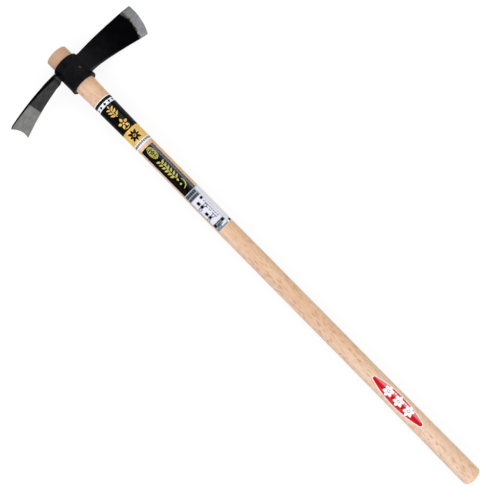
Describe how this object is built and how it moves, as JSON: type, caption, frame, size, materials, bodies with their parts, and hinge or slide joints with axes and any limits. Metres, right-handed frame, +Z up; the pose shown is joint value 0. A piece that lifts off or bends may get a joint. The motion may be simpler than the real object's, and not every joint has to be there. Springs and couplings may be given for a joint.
{
  "type": "cutter mattock",
  "caption": "Grubbing and fire-line hand tool: an axe blade and a flared adze blade on opposite sides of an eye that is jammed and nailed on a long round wooden handle.",
  "frame": {"origin": "on the ground that the tool lies on, under the middle of its bounding box", "axes": "+X along the handle from the head to the butt, +Y towards the axe blade's side, +Z up from the ground; the tool lies as it rests by itself, on the adze's lower corner, the axe's edge and the butt"},
  "size_m": [0.9002, 0.2592, 0.0913],
  "materials": {
    "beech_wood": "turned and sanded beech with a thin clear lacquer",
    "black_steel": "forged, black baked enamel, satin",
    "ground_steel": "ground bare, fine grinding marks",
    "nail_steel": "dull drawn wire",
    "sticker_gold": "gloss printed film",
    "sticker_black": "gloss printed film",
    "sticker_silver": "gloss printed film",
    "sticker_red": "gloss printed film"
  },
  "bodies": {
    "root": {"handle": "beech_wood", "eye_collar": "black_steel", "axe_blade": "black_steel", "axe_bit": "ground_steel", "adze_blade": "black_steel", "adze_bit": "ground_steel", "retaining_nail": "nail_steel", "label_band": "sticker_gold", "label_name": "sticker_black", "label_notice": "sticker_silver", "label_oval": "sticker_red"}
  },
  "joints": []
}
